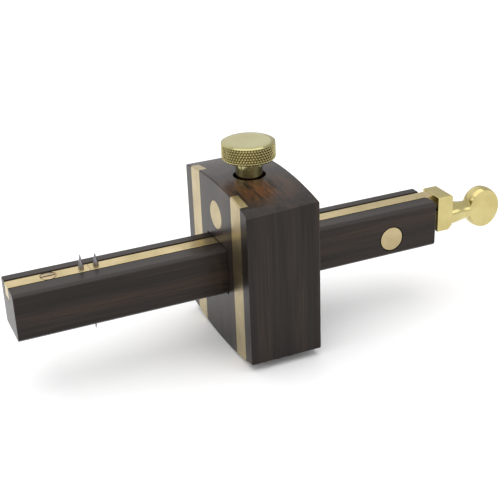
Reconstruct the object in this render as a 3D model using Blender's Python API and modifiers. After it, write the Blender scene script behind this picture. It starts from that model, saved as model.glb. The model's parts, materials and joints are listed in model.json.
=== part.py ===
"""A combined marking and mortise gauge: a barrel-shaped hardwood stock that slides on a square hardwood beam.

Run it with: blender --background --python part.py
Units are metres, +Z is up, and the beam runs along X. The origin is under the middle of the gauge,
level with the lowest point of the stock. Positions along the beam are worked out from its left end.
"""

import math

import bmesh
import bpy
from mathutils import Matrix

CLEARANCE = 0.0003  # between pieces that touch, slide or seat on one another

# Beam: the square hardwood bar, with a slightly dovetailed groove in its top.
BEAM_LENGTH = 0.1885
BEAM_WIDTH = 0.0205
BEAM_HEIGHT = 0.0205
BEAM_CHAMFER = 0.0011
GROOVE_SHIFT = 0.0009  # the groove's middle lies this far behind the beam's

# The brass bars in the groove.
BAR_WIDTH = 0.0068
BAR_THICKNESS = 0.0055
BAR_RECESS = 0.0001  # the bars' tops lie this far below the beam's
BAR_FLARE = 0.0003  # each side, from the top of the bar to its foot
FIXED_BAR_LENGTH = 0.0333

# Marking pins: hardened steel, with a turned point.
PIN_DIAMETER = 0.0023
FIXED_PIN_STAND = 0.0058
MOVING_PIN_STAND = 0.0051
PIN_SHIFT = 0.0009  # the pins stand this far behind the middle of the bars
PIN_PARALLEL = 0.0010
PIN_SPACING = 0.0061
SINGLE_PIN_PLACE = 0.0335
SINGLE_PIN_STAND = 0.0068
SINGLE_PIN_DEPTH = 0.0080

# Countersunk slotted screw that holds the fixed bar.
PLATE_SCREW_PLACE = 0.0168
PLATE_SCREW_HEAD = 0.0060
PLATE_SCREW_SHANK = 0.0028
PLATE_SCREW_LENGTH = 0.0125
PLATE_SCREW_SLOT = 0.0009

# Stock: flat faces front and back, arched top and bottom.
STOCK_PLACE = 0.0882
STOCK_THICKNESS = 0.0315
STOCK_WIDTH = 0.0650
STOCK_HEIGHT = 0.0730
STOCK_SAG = 0.0035  # rise of each arch from its ends to its crown
STOCK_EDGE = 0.0008
ARCH_STEPS = 16

WEAR_STRIP_WIDTH = 0.0094
WEAR_STRIP_THICKNESS = 0.0035
WEAR_STRIP_EDGE_WOOD = 0.0065  # wood left between a strip and the side of the stock

# Clamp: thumbscrew, its cross nut in the stock, and the shoe that bears on the beam.
THUMBSCREW_HEAD = 0.0222
THUMBSCREW_HEAD_HEIGHT = 0.0073
THUMBSCREW_BEVEL = 0.00095
THUMBSCREW_NECK = 0.0112
THUMBSCREW_NECK_SHOWING = 0.00735
THUMBSCREW_SHANK = 0.0080
NECK_HOLE_GAP = 0.00105  # all round the neck, where it passes into the stock
CLAMP_TRAVEL = 0.0015
SHOE_LENGTH = 0.0200
SHOE_WIDTH = 0.0155
SHOE_THICKNESS = 0.0018
SHOE_DIMPLE = 0.0006
STOCK_NUT_DIAMETER = 0.0122
STOCK_NUT_BACK_WOOD = 0.0065  # wood between the nut's blind end and the back of the stock
STOCK_NUT_COVER = 0.0010  # wood between the shoe's pocket and the nut's bore
NECK_HOLE_COVER = 0.0019  # wood between the nut's bore and the hole for the neck

# Adjuster: end block, thumb-turn, threaded rod and the cross nut in the beam.
BLOCK_GAP = 0.0035
BLOCK_LENGTH = 0.0078
BLOCK_WIDTH = 0.0130
BLOCK_RISE = 0.0003  # above the bars' tops
BLOCK_BELOW_AXIS = 0.0049
BLOCK_TOP_CHAMFER = 0.0010
BLOCK_FOOT_CHAMFER = 0.0020
TENON_LENGTH = 0.0040
TENON_STEP = 0.0018
ROD_DIAMETER = 0.0040
ROD_REACH = 0.0400  # how far the rod runs past the nut at rest, which sets the slide's travel
ROD_SOCKET = 0.0100
BEAM_NUT_END_WOOD = 0.0225  # from the nut's axis to the end of the beam
BEAM_NUT_TOP_COVER = 0.0010
BEAM_NUT_FOOT_COVER = 0.0024
COLLAR_WALL = 0.0017
COLLAR_GAP = 0.0019  # between the collar and the sliding bar above it
COLLAR_THICKNESS = 0.0024
COLLAR_PIN_DIAMETER = 0.0010
NECK_ROOT_RADIUS = 0.0051
NECK_WAIST_RADIUS = 0.0042
NECK_LENGTH = 0.0107
NECK_STRAIGHT = 0.0025
NECK_TAPER = 0.0075
KNOB_LENGTH = 0.0166
KNOB_RADIUS = 0.0095
KNOB_THICKNESS = 0.0068
KNOB_RIM = 0.0003

# Derived heights, from the lowest point of the stock.
BEAM_FOOT = (STOCK_HEIGHT - BEAM_HEIGHT) / 2
BEAM_TOP = BEAM_FOOT + BEAM_HEIGHT
GROOVE_DEPTH = BAR_RECESS + BAR_THICKNESS + CLEARANCE
GROOVE_FLOOR = BEAM_TOP - GROOVE_DEPTH
BAR_FOOT = GROOVE_FLOOR + CLEARANCE
BAR_TOP = BAR_FOOT + BAR_THICKNESS
BEAM_NUT_DIAMETER = BEAM_HEIGHT - GROOVE_DEPTH - BEAM_NUT_TOP_COVER - BEAM_NUT_FOOT_COVER - 2 * CLEARANCE
BEAM_NUT_HEIGHT = BEAM_FOOT + BEAM_NUT_FOOT_COVER + CLEARANCE + BEAM_NUT_DIAMETER / 2
COLLAR_DIAMETER = ROD_DIAMETER + 2 * CLEARANCE + 2 * COLLAR_WALL
ADJUSTER_HEIGHT = BAR_FOOT - COLLAR_GAP - COLLAR_DIAMETER / 2
BLOCK_TOP = BAR_TOP + BLOCK_RISE
BLOCK_FOOT = ADJUSTER_HEIGHT - BLOCK_BELOW_AXIS
BLOCK_HEIGHT = BLOCK_TOP - BLOCK_FOOT
SHOE_FOOT = BEAM_TOP + CLEARANCE
SHOE_POCKET_TOP = SHOE_FOOT + SHOE_THICKNESS + CLAMP_TRAVEL + CLEARANCE
STOCK_NUT_HEIGHT = SHOE_POCKET_TOP + STOCK_NUT_COVER + CLEARANCE + STOCK_NUT_DIAMETER / 2
NECK_FOOT = STOCK_NUT_HEIGHT + STOCK_NUT_DIAMETER / 2 + NECK_HOLE_COVER + 2 * CLEARANCE
STOCK_NUT_LENGTH = STOCK_THICKNESS - STOCK_NUT_BACK_WOOD

# Derived places along the beam, from its left end, and the move that puts the origin in the middle.
FIXED_PIN_PLACE = FIXED_BAR_LENGTH + CLEARANCE / 2 - PIN_SPACING / 2
MOVING_PIN_PLACE = FIXED_PIN_PLACE + PIN_SPACING
SLIDE_BAR_START = FIXED_BAR_LENGTH + CLEARANCE
BLOCK_START = BEAM_LENGTH + BLOCK_GAP
BLOCK_END = BLOCK_START + BLOCK_LENGTH
NECK_START = BLOCK_END + CLEARANCE
KNOB_START = NECK_START + NECK_LENGTH
KNOB_END = KNOB_START + KNOB_LENGTH
BEAM_NUT_PLACE = BEAM_LENGTH - BEAM_NUT_END_WOOD
COLLAR_PLACE = BLOCK_START - CLEARANCE - COLLAR_THICKNESS / 2
ROD_START = BEAM_NUT_PLACE - BEAM_NUT_DIAMETER / 2 - ROD_REACH
STOCK_MIDDLE = STOCK_PLACE + STOCK_THICKNESS / 2
LEFT_END = -KNOB_END / 2


def make_material(name, colour, roughness, metallic):
    material = bpy.data.materials.new(name)
    material.use_nodes = True
    shader = material.node_tree.nodes["Principled BSDF"]
    shader.inputs["Base Color"].default_value = (*colour, 1.0)
    shader.inputs["Roughness"].default_value = roughness
    shader.inputs["Metallic"].default_value = metallic
    material.diffuse_color = (*colour, 1.0)
    return material


def make_object(name, mesh, collection, parent=None, material=None):
    part = bpy.data.objects.new(name, mesh)
    collection.objects.link(part)
    part.parent = parent
    if material is not None:
        mesh.materials.append(material)
    return part


def make_empty(name, collection, x, y, z, parent=None):
    """An empty on a joint's axis, placed from the beam's left end."""
    empty = bpy.data.objects.new(name, None)
    collection.objects.link(empty)
    empty.empty_display_size = 0.01
    empty.parent = parent
    place(empty, x, y, z)
    return empty


def place(part, x, y, z):
    """Puts the part's origin at a place given from the beam's left end, whatever its parent."""
    above = part.parent
    offset = [0.0, 0.0, 0.0]
    while above is not None:
        offset = [sum(pair) for pair in zip(offset, above.location)]
        above = above.parent
    part.location = (LEFT_END + x - offset[0], y - offset[1], z - offset[2])
    return part


def box_mesh(name, length, width, height):
    """A box centred on its origin."""
    mesh = bpy.data.meshes.new(name)
    shape = bmesh.new()
    bmesh.ops.create_cube(shape, size=1.0)
    bmesh.ops.scale(shape, vec=(length, width, height), verts=shape.verts)
    shape.to_mesh(mesh)
    shape.free()
    return mesh


def rod_mesh(name, radius, length, axis, segments=32, end_radius=None):
    """A cylinder, or a cone if end_radius is given, centred on its origin and lying along axis."""
    turns = {"X": (math.pi / 2, (0, 1, 0)), "Y": (-math.pi / 2, (1, 0, 0)), "Z": (0.0, (0, 0, 1))}
    angle, about = turns[axis]
    last = radius if end_radius is None else end_radius
    mesh = bpy.data.meshes.new(name)
    shape = bmesh.new()
    bmesh.ops.create_cone(shape, cap_ends=True, segments=segments, radius1=radius, radius2=last, depth=length)
    bmesh.ops.rotate(shape, cent=(0, 0, 0), matrix=Matrix.Rotation(angle, 3, about), verts=shape.verts)
    shape.to_mesh(mesh)
    shape.free()
    smooth(mesh)
    return mesh


def smooth(mesh):
    mesh.shade_smooth()
    mesh.set_sharp_from_angle(angle=math.radians(35))


def turned_part(name, profile, collection, parent, material, steps=48):
    """A solid turned about Z. The profile lists (radius, height) down its outer side, from axis to axis."""
    mesh = bpy.data.meshes.new(name)
    points = [(radius, 0.0, height) for radius, height in profile]
    edges = [(i, i + 1) for i in range(len(points) - 1)]
    mesh.from_pydata(points, edges, [])
    part = make_object(name, mesh, collection, parent, material)
    screw = part.modifiers.new("Turning", "SCREW")
    screw.axis = "Z"
    screw.angle = 2 * math.pi
    screw.steps = steps
    screw.render_steps = steps
    screw.use_merge_vertices = True
    screw.merge_threshold = 0.00001
    screw.use_smooth_shade = True
    return part


def outline_mesh(name, outline, length):
    """A prism along X from a convex outline of (y, z) points, centred along X."""
    mesh = bpy.data.meshes.new(name)
    shape = bmesh.new()
    ends = [[shape.verts.new((x, y, z)) for y, z in outline] for x in (-length / 2, length / 2)]
    for ring in ends:
        shape.faces.new(ring)
    for i in range(len(outline)):
        shape.faces.new((ends[0][i - 1], ends[0][i], ends[1][i], ends[1][i - 1]))
    bmesh.ops.recalc_face_normals(shape, faces=shape.faces)
    shape.to_mesh(mesh)
    shape.free()
    return mesh


def bevel(part, width, segments=1, angle=35):
    modifier = part.modifiers.new("Rounded edges", "BEVEL")
    modifier.width = width
    modifier.segments = segments
    modifier.limit_method = "ANGLE"
    modifier.angle_limit = math.radians(angle)
    return modifier


def cut(part, cutter, operation="DIFFERENCE"):
    modifier = part.modifiers.new(cutter.name, "BOOLEAN")
    modifier.operation = operation
    modifier.object = cutter
    modifier.solver = "EXACT"


def make_cutter(name, mesh, collection, x, y, z):
    cutter = make_object(name, mesh, collection)
    cutter.hide_render = True
    cutter.display_type = "WIRE"
    return place(cutter, x, y, z)


def box_cutter(name, size, centre):
    return make_cutter(name, box_mesh(name, *size), cutters, *centre)


def rod_cutter(name, radius, length, axis, centre, segments=32):
    return make_cutter(name, rod_mesh(name, radius, length, axis, segments), cutters, *centre)


for old in list(bpy.data.objects):
    bpy.data.objects.remove(old)

gauge = bpy.data.collections.new("Marking gauge")
cutters = bpy.data.collections.new("Cutters")
bpy.context.scene.collection.children.link(gauge)
bpy.context.scene.collection.children.link(cutters)
bpy.context.view_layer.update()

rosewood = make_material("Rosewood", (0.055, 0.036, 0.028), 0.42, 0.0)
brass = make_material("Brass", (0.78, 0.62, 0.32), 0.3, 1.0)
steel = make_material("Steel", (0.45, 0.45, 0.47), 0.3, 1.0)

stock_group = make_empty("stock_group", gauge, STOCK_MIDDLE, 0, 0)
beam_group = make_empty("beam_group", gauge, 0, 0, BEAM_FOOT, stock_group)
slide_group = make_empty("slide_group", gauge, BLOCK_START, 0, BAR_FOOT, beam_group)
adjuster_group = make_empty("adjuster_group", gauge, BLOCK_END, 0, ADJUSTER_HEIGHT, slide_group)
clamp_group = make_empty("clamp_group", gauge, STOCK_MIDDLE, 0, SHOE_FOOT, stock_group)


def arched_outline(half_width, height, sag, steps):
    """Flat sides joined by two circular arches. The radius follows from half the chord and the rise."""
    radius = (half_width**2 + sag**2) / (2 * sag)
    sweep = math.asin(half_width / radius)
    angles = [sweep * (2 * i / steps - 1) for i in range(steps + 1)]
    top = [(radius * math.sin(a), height - radius * (1 - math.cos(a))) for a in angles]
    foot = [(-y, height - z) for y, z in top]
    return top + foot


def make_stock():
    outline = arched_outline(STOCK_WIDTH / 2, STOCK_HEIGHT, STOCK_SAG, ARCH_STEPS)
    mesh = outline_mesh("stock", outline, STOCK_THICKNESS)
    stock = make_object("stock", mesh, gauge, stock_group, rosewood)
    place(stock, STOCK_MIDDLE, 0, 0)
    bevel(stock, STOCK_EDGE, 2, 40)

    middle = (STOCK_MIDDLE, 0, BEAM_FOOT + BEAM_HEIGHT / 2)
    mortise = (2 * STOCK_THICKNESS, BEAM_WIDTH + 2 * CLEARANCE, BEAM_HEIGHT + 2 * CLEARANCE)
    cut(stock, box_cutter("mortise", mortise, middle))

    pocket_foot = BEAM_FOOT + BEAM_HEIGHT / 2
    pocket = (SHOE_LENGTH + 2 * CLEARANCE, SHOE_WIDTH + 2 * CLEARANCE, SHOE_POCKET_TOP - pocket_foot)
    cut(stock, box_cutter("shoe_pocket", pocket, (STOCK_MIDDLE, 0, (SHOE_POCKET_TOP + pocket_foot) / 2)))

    for side, centre in wear_strip_centres():
        depth = 2 * (WEAR_STRIP_THICKNESS + CLEARANCE)
        channel = (depth, WEAR_STRIP_WIDTH + 2 * CLEARANCE, 2 * STOCK_HEIGHT)
        cut(stock, box_cutter("strip_channel_" + side, channel, (STOCK_PLACE, centre, STOCK_HEIGHT / 2)))

    bore = STOCK_NUT_DIAMETER / 2 + CLEARANCE
    reach = STOCK_NUT_LENGTH + CLEARANCE
    nut_bore = rod_cutter("stock_nut_bore", bore, 2 * reach, "X", (STOCK_PLACE, 0, STOCK_NUT_HEIGHT), 48)
    cut(stock, nut_bore)

    floor = NECK_FOOT - CLEARANCE
    high = STOCK_HEIGHT + THUMBSCREW_NECK_SHOWING
    neck_hole = (THUMBSCREW_NECK / 2 + NECK_HOLE_GAP, high - floor, "Z")
    cut(stock, rod_cutter("neck_hole", *neck_hole, (STOCK_MIDDLE, 0, (high + floor) / 2), 48))
    shank_hole = (THUMBSCREW_SHANK / 2 + CLEARANCE, high - BEAM_TOP, "Z")
    cut(stock, rod_cutter("shank_hole", *shank_hole, (STOCK_MIDDLE, 0, (high + BEAM_TOP) / 2)))


def wear_strip_centres():
    edge = STOCK_WIDTH / 2 - WEAR_STRIP_EDGE_WOOD - WEAR_STRIP_WIDTH / 2
    return (("front", -edge), ("back", edge))


def make_wear_strips():
    """Brass strips let into the face that bears on the work. Their ends follow the stock's arches."""
    outline = arched_outline(STOCK_WIDTH / 2, STOCK_HEIGHT, STOCK_SAG, ARCH_STEPS)
    shape = outline_mesh("stock_form", outline, 2 * STOCK_THICKNESS)
    form = make_cutter("stock_form", shape, cutters, STOCK_PLACE, 0, 0)
    for side, centre in wear_strip_centres():
        name = "wear_strip_" + side
        mesh = box_mesh(name, WEAR_STRIP_THICKNESS, WEAR_STRIP_WIDTH, 2 * STOCK_HEIGHT)
        strip = make_object(name, mesh, gauge, stock_group, brass)
        place(strip, STOCK_PLACE + WEAR_STRIP_THICKNESS / 2, centre, STOCK_HEIGHT / 2)
        cut(strip, form, "INTERSECT")


def make_stock_nut():
    """The cross nut that the thumbscrew threads through. Its end shows in the working face."""
    mesh = rod_mesh("stock_cross_nut", STOCK_NUT_DIAMETER / 2, STOCK_NUT_LENGTH, "X", 48)
    nut = make_object("stock_cross_nut", mesh, gauge, stock_group, brass)
    place(nut, STOCK_PLACE + STOCK_NUT_LENGTH / 2, 0, STOCK_NUT_HEIGHT)
    hole = (THUMBSCREW_SHANK / 2 + CLEARANCE, 2 * STOCK_NUT_DIAMETER, "Z")
    cut(nut, rod_cutter("stock_nut_thread", *hole, (STOCK_MIDDLE, 0, STOCK_NUT_HEIGHT)))


def make_thumbscrew():
    """One turned piece: head, neck and shank. The thread is drawn plain, at its outer diameter."""
    head = THUMBSCREW_HEAD / 2
    neck = THUMBSCREW_NECK / 2
    shank = THUMBSCREW_SHANK / 2
    ease = 0.0005
    head_foot = STOCK_HEIGHT + THUMBSCREW_NECK_SHOWING
    head_top = head_foot + THUMBSCREW_HEAD_HEIGHT
    tip = SHOE_FOOT + SHOE_THICKNESS - SHOE_DIMPLE + CLEARANCE
    profile = [
        (0, head_top),
        (head - THUMBSCREW_BEVEL, head_top),
        (head, head_top - THUMBSCREW_BEVEL / 2),
        (head, head_foot + ease),
        (head - ease, head_foot),
        (neck, head_foot),
        (neck, NECK_FOOT + ease),
        (neck - ease, NECK_FOOT),
        (shank, NECK_FOOT),
        (shank, tip + 2 * ease),
        (shank - 2 * ease, tip),
        (0, tip),
    ]
    profile = [(radius, height - SHOE_FOOT) for radius, height in profile]
    screw = turned_part("thumbscrew", profile, gauge, clamp_group, brass, 48)
    place(screw, STOCK_MIDDLE, 0, SHOE_FOOT)


def make_pressure_shoe():
    mesh = box_mesh("pressure_shoe", SHOE_LENGTH, SHOE_WIDTH, SHOE_THICKNESS)
    shoe = make_object("pressure_shoe", mesh, gauge, clamp_group, brass)
    place(shoe, STOCK_MIDDLE, 0, SHOE_FOOT + SHOE_THICKNESS / 2)
    bevel(shoe, 0.0003)
    dimple = (THUMBSCREW_SHANK / 2 + CLEARANCE, 2 * SHOE_DIMPLE, "Z")
    cut(shoe, rod_cutter("shoe_dimple", *dimple, (STOCK_MIDDLE, 0, SHOE_FOOT + SHOE_THICKNESS)))


def bar_outline(top_width, flare, foot, top):
    """A bar's section, a little wider at its foot so that it can't lift out of the groove."""
    half = top_width / 2
    corners = ((-half - flare, foot), (half + flare, foot), (half, top), (-half, top))
    return [(GROOVE_SHIFT + y, z) for y, z in corners]


def make_beam():
    mesh = box_mesh("beam", BEAM_LENGTH, BEAM_WIDTH, BEAM_HEIGHT)
    beam = make_object("beam", mesh, gauge, beam_group, rosewood)
    place(beam, BEAM_LENGTH / 2, 0, BEAM_FOOT + BEAM_HEIGHT / 2)
    bevel(beam, BEAM_CHAMFER, 2)

    slope = BAR_FLARE / BAR_THICKNESS
    rise = BEAM_TOP - BAR_TOP + BEAM_CHAMFER
    top_width = BAR_WIDTH + 2 * CLEARANCE - 2 * slope * rise
    flare = slope * (BAR_THICKNESS + CLEARANCE + rise)
    outline = bar_outline(top_width, flare, GROOVE_FLOOR, BAR_TOP + rise)
    groove = outline_mesh("groove", outline, 2 * BEAM_LENGTH)
    cut(beam, make_cutter("groove", groove, cutters, BEAM_LENGTH / 2, 0, 0))

    nut_bore = BEAM_NUT_DIAMETER / 2 + CLEARANCE
    nut_place = (BEAM_NUT_PLACE, 0, BEAM_NUT_HEIGHT)
    cut(beam, rod_cutter("beam_nut_bore", nut_bore, 2 * BEAM_WIDTH, "Y", nut_place, 48))

    rod_hole_end = BEAM_LENGTH + BEAM_CHAMFER
    rod_hole_start = ROD_START - 2 * CLEARANCE
    length = rod_hole_end - rod_hole_start
    middle = ((rod_hole_end + rod_hole_start) / 2, 0, ADJUSTER_HEIGHT)
    cut(beam, rod_cutter("rod_hole", ROD_DIAMETER / 2 + 2 * CLEARANCE, length, "X", middle, 24))

    screw_end = BAR_TOP - PLATE_SCREW_LENGTH - CLEARANCE
    screw_hole = (PLATE_SCREW_SHANK / 2 + CLEARANCE, 2 * (GROOVE_FLOOR - screw_end), "Z")
    cut(beam, rod_cutter("plate_screw_hole", *screw_hole, (PLATE_SCREW_PLACE, GROOVE_SHIFT, GROOVE_FLOOR), 24))

    pin_hole = (PIN_DIAMETER / 2 + CLEARANCE, 2 * (SINGLE_PIN_DEPTH + CLEARANCE), "Z")
    cut(beam, rod_cutter("single_pin_hole", *pin_hole, (SINGLE_PIN_PLACE, 0, BEAM_FOOT), 24))


def make_fixed_bar():
    outline = bar_outline(BAR_WIDTH, BAR_FLARE, BAR_FOOT, BAR_TOP)
    mesh = outline_mesh("fixed_pin_bar", outline, FIXED_BAR_LENGTH)
    bar = make_object("fixed_pin_bar", mesh, gauge, beam_group, brass)
    place(bar, FIXED_BAR_LENGTH / 2, 0, 0)
    drill_pin_hole(bar, "fixed_pin_hole", FIXED_PIN_PLACE)

    head = PLATE_SCREW_HEAD / 2 + CLEARANCE
    shank = PLATE_SCREW_SHANK / 2 + CLEARANCE
    sink = rod_mesh("screw_sink", shank, head - shank, "Z", 32, head)
    sink_height = BAR_TOP - (head - shank) / 2
    cut(bar, make_cutter("screw_sink", sink, cutters, PLATE_SCREW_PLACE, GROOVE_SHIFT, sink_height))
    hole_place = (PLATE_SCREW_PLACE, GROOVE_SHIFT, BAR_FOOT)
    cut(bar, rod_cutter("bar_screw_hole", shank, 2 * BAR_THICKNESS, "Z", hole_place))


def drill_pin_hole(bar, name, x):
    hole = (PIN_DIAMETER / 2 + CLEARANCE, 3 * BAR_THICKNESS, "Z")
    cut(bar, rod_cutter(name, *hole, (x, GROOVE_SHIFT + PIN_SHIFT, BAR_FOOT + BAR_THICKNESS / 2), 24))


def make_plate_screw():
    head = PLATE_SCREW_HEAD / 2
    shank = PLATE_SCREW_SHANK / 2
    sink = head - shank
    profile = [(0, 0), (head, 0), (shank, -sink), (shank, 0.001 - PLATE_SCREW_LENGTH), (0, -PLATE_SCREW_LENGTH)]
    screw = turned_part("plate_screw", profile, gauge, beam_group, brass, 32)
    place(screw, PLATE_SCREW_PLACE, GROOVE_SHIFT, BAR_TOP)
    slot = (2 * PLATE_SCREW_HEAD, PLATE_SCREW_SLOT, 2 * PLATE_SCREW_SLOT)
    cut(screw, box_cutter("screw_slot", slot, (PLATE_SCREW_PLACE, GROOVE_SHIFT, BAR_TOP)))


def make_pin(name, x, y, base, stand, sunk, group, pointing):
    """A steel pin with a turned point. Pointing is 1 for up and -1 for down."""
    radius = PIN_DIAMETER / 2
    point = 0.00012
    profile = [(0, stand), (point, stand - point), (radius, PIN_PARALLEL), (radius, -sunk), (0, -sunk)]
    pin = turned_part(name, profile, gauge, group, steel, 24)
    place(pin, x, y, base)
    if pointing < 0:
        pin.rotation_euler = (math.pi, 0.0, 0.0)


def make_beam_nut():
    """The cross nut that the adjuster's rod threads through. Its end shows in the side of the beam."""
    mesh = rod_mesh("beam_cross_nut", BEAM_NUT_DIAMETER / 2, BEAM_WIDTH, "Y", 48)
    nut = make_object("beam_cross_nut", mesh, gauge, beam_group, brass)
    place(nut, BEAM_NUT_PLACE, 0, BEAM_NUT_HEIGHT)
    hole = (ROD_DIAMETER / 2 + CLEARANCE, 2 * BEAM_NUT_DIAMETER, "X")
    cut(nut, rod_cutter("beam_nut_thread", *hole, (BEAM_NUT_PLACE, 0, ADJUSTER_HEIGHT), 24))


def make_slide_bar():
    """The sliding bar, with a stepped tenon that is let into the end block below its top."""
    length = BLOCK_START - CLEARANCE - SLIDE_BAR_START + TENON_LENGTH
    outline = bar_outline(BAR_WIDTH, BAR_FLARE, BAR_FOOT, BAR_TOP)
    mesh = outline_mesh("slide_bar", outline, length)
    bar = make_object("slide_bar", mesh, gauge, slide_group, brass)
    place(bar, SLIDE_BAR_START + length / 2, 0, 0)
    step_start = BLOCK_START - CLEARANCE
    step = (2 * TENON_LENGTH, 2 * BAR_WIDTH, 2 * TENON_STEP)
    cut(bar, box_cutter("tenon_step", step, (step_start + TENON_LENGTH, GROOVE_SHIFT, BAR_TOP)))
    drill_pin_hole(bar, "moving_pin_hole", MOVING_PIN_PLACE)


def make_end_block():
    mesh = box_mesh("end_block", BLOCK_LENGTH, BLOCK_WIDTH, BLOCK_HEIGHT)
    shape = bmesh.new()
    shape.from_mesh(mesh)
    for side, size in ((1, BLOCK_TOP_CHAMFER), (-1, BLOCK_FOOT_CHAMFER)):
        outer = [edge for edge in shape.edges if all(v.co.x > 0 and v.co.z * side > 0 for v in edge.verts)]
        across = [edge for edge in outer if abs(edge.verts[0].co.y - edge.verts[1].co.y) > BLOCK_WIDTH / 2]
        bmesh.ops.bevel(shape, geom=across, offset=size, segments=1, affect="EDGES")
    shape.to_mesh(mesh)
    shape.free()
    block = make_object("end_block", mesh, gauge, slide_group, brass)
    place(block, BLOCK_START + BLOCK_LENGTH / 2, 0, BLOCK_TOP - BLOCK_HEIGHT / 2)
    bevel(block, 0.0003)

    socket_width = BAR_WIDTH + 2 * BAR_FLARE + 2 * CLEARANCE
    socket_height = BAR_THICKNESS - TENON_STEP + 2 * CLEARANCE
    socket = (2 * TENON_LENGTH, socket_width, socket_height)
    socket_middle = BAR_FOOT + (BAR_THICKNESS - TENON_STEP) / 2
    cut(block, box_cutter("tenon_socket", socket, (BLOCK_START, GROOVE_SHIFT, socket_middle)))
    journal = (ROD_DIAMETER / 2 + CLEARANCE, 4 * BLOCK_LENGTH, "X")
    cut(block, rod_cutter("block_journal", *journal, (BLOCK_START, 0, ADJUSTER_HEIGHT), 32))


def make_thumb_turn():
    """A knob and neck turned about X, with two flats milled on the knob, upright at rest."""
    knob_half = KNOB_LENGTH / 2
    knob_middle = NECK_LENGTH + knob_half
    first = -math.acos(NECK_WAIST_RADIUS / KNOB_RADIUS)
    steps = 14
    sweep = [first + (math.pi / 2 - first) * i / steps for i in range(steps)]
    knob = [(KNOB_RADIUS * math.cos(a), knob_middle + knob_half * math.sin(a)) for a in sweep]
    fall = NECK_ROOT_RADIUS - NECK_WAIST_RADIUS
    shares = [i / 6 for i in range(7)]
    neck = [(NECK_ROOT_RADIUS - fall * (1 - math.cos(math.pi * t)) / 2, NECK_STRAIGHT + NECK_TAPER * t) for t in shares]
    profile = [(0, 0), (NECK_ROOT_RADIUS, 0)] + neck + knob + [(0, knob_middle + knob_half)]
    thumb = turned_part("thumb_turn", profile[::-1], gauge, adjuster_group, brass, 48)
    place(thumb, NECK_START, 0, ADJUSTER_HEIGHT)
    thumb.rotation_euler = (0.0, math.pi / 2, 0.0)

    for side, toward in (("front", -1), ("back", 1)):
        name = "knob_flat_" + side
        mesh = rod_mesh(name, 1.0, KNOB_RADIUS, "Y", 48)
        shape = bmesh.new()
        shape.from_mesh(mesh)
        bmesh.ops.scale(shape, vec=(knob_half - KNOB_RIM, 1.0, KNOB_RADIUS + KNOB_RIM), verts=shape.verts)
        shape.to_mesh(mesh)
        shape.free()
        out = toward * (KNOB_THICKNESS + KNOB_RADIUS) / 2
        cut(thumb, make_cutter(name, mesh, cutters, NECK_START + knob_middle, out, ADJUSTER_HEIGHT))
    socket = (ROD_DIAMETER / 2 + CLEARANCE, 2 * ROD_SOCKET, "X")
    cut(thumb, rod_cutter("rod_socket", *socket, (NECK_START, 0, ADJUSTER_HEIGHT), 24))


def make_adjuster_rod():
    """The threaded rod, drawn plain at its outer diameter, fixed in the thumb-turn."""
    end = NECK_START + ROD_SOCKET - CLEARANCE
    mesh = rod_mesh("adjuster_rod", ROD_DIAMETER / 2, end - ROD_START, "X", 24)
    rod = make_object("adjuster_rod", mesh, gauge, adjuster_group, steel)
    place(rod, (ROD_START + end) / 2, 0, ADJUSTER_HEIGHT)
    drill_collar_pin_hole(rod, "rod_pin_hole")


def make_collar():
    """Pinned to the rod behind the end block, so that the thumb-turn can't come out of it."""
    mesh = rod_mesh("retaining_collar", COLLAR_DIAMETER / 2, COLLAR_THICKNESS, "X", 32)
    collar = make_object("retaining_collar", mesh, gauge, adjuster_group, brass)
    place(collar, COLLAR_PLACE, 0, ADJUSTER_HEIGHT)
    bore = (ROD_DIAMETER / 2 + CLEARANCE, 2 * COLLAR_THICKNESS, "X")
    cut(collar, rod_cutter("collar_bore", *bore, (COLLAR_PLACE, 0, ADJUSTER_HEIGHT), 24))
    drill_collar_pin_hole(collar, "collar_pin_hole")

    length = COLLAR_DIAMETER - 2 * CLEARANCE
    pin = rod_mesh("collar_pin", COLLAR_PIN_DIAMETER / 2, length, "Z", 16)
    pin = make_object("collar_pin", pin, gauge, adjuster_group, steel)
    place(pin, COLLAR_PLACE, 0, ADJUSTER_HEIGHT)


def drill_collar_pin_hole(part, name):
    hole = (COLLAR_PIN_DIAMETER / 2 + CLEARANCE / 2, 2 * COLLAR_DIAMETER, "Z")
    cut(part, rod_cutter(name, *hole, (COLLAR_PLACE, 0, ADJUSTER_HEIGHT), 16))


make_stock()
make_wear_strips()
make_stock_nut()
make_thumbscrew()
make_pressure_shoe()
make_beam()
make_fixed_bar()
make_plate_screw()
pin_sunk = BAR_THICKNESS - CLEARANCE
bar_pin_y = GROOVE_SHIFT + PIN_SHIFT
make_pin("fixed_pin", FIXED_PIN_PLACE, bar_pin_y, BAR_TOP, FIXED_PIN_STAND, pin_sunk, beam_group, 1)
make_pin("single_pin", SINGLE_PIN_PLACE, 0, BEAM_FOOT, SINGLE_PIN_STAND, SINGLE_PIN_DEPTH, beam_group, -1)
make_beam_nut()
make_slide_bar()
make_pin("moving_pin", MOVING_PIN_PLACE, bar_pin_y, BAR_TOP, MOVING_PIN_STAND, pin_sunk, slide_group, 1)
make_end_block()
make_thumb_turn()
make_adjuster_rod()
make_collar()
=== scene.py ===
import json
import math

import bpy
import numpy as np
from mathutils import Matrix, Vector

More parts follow.
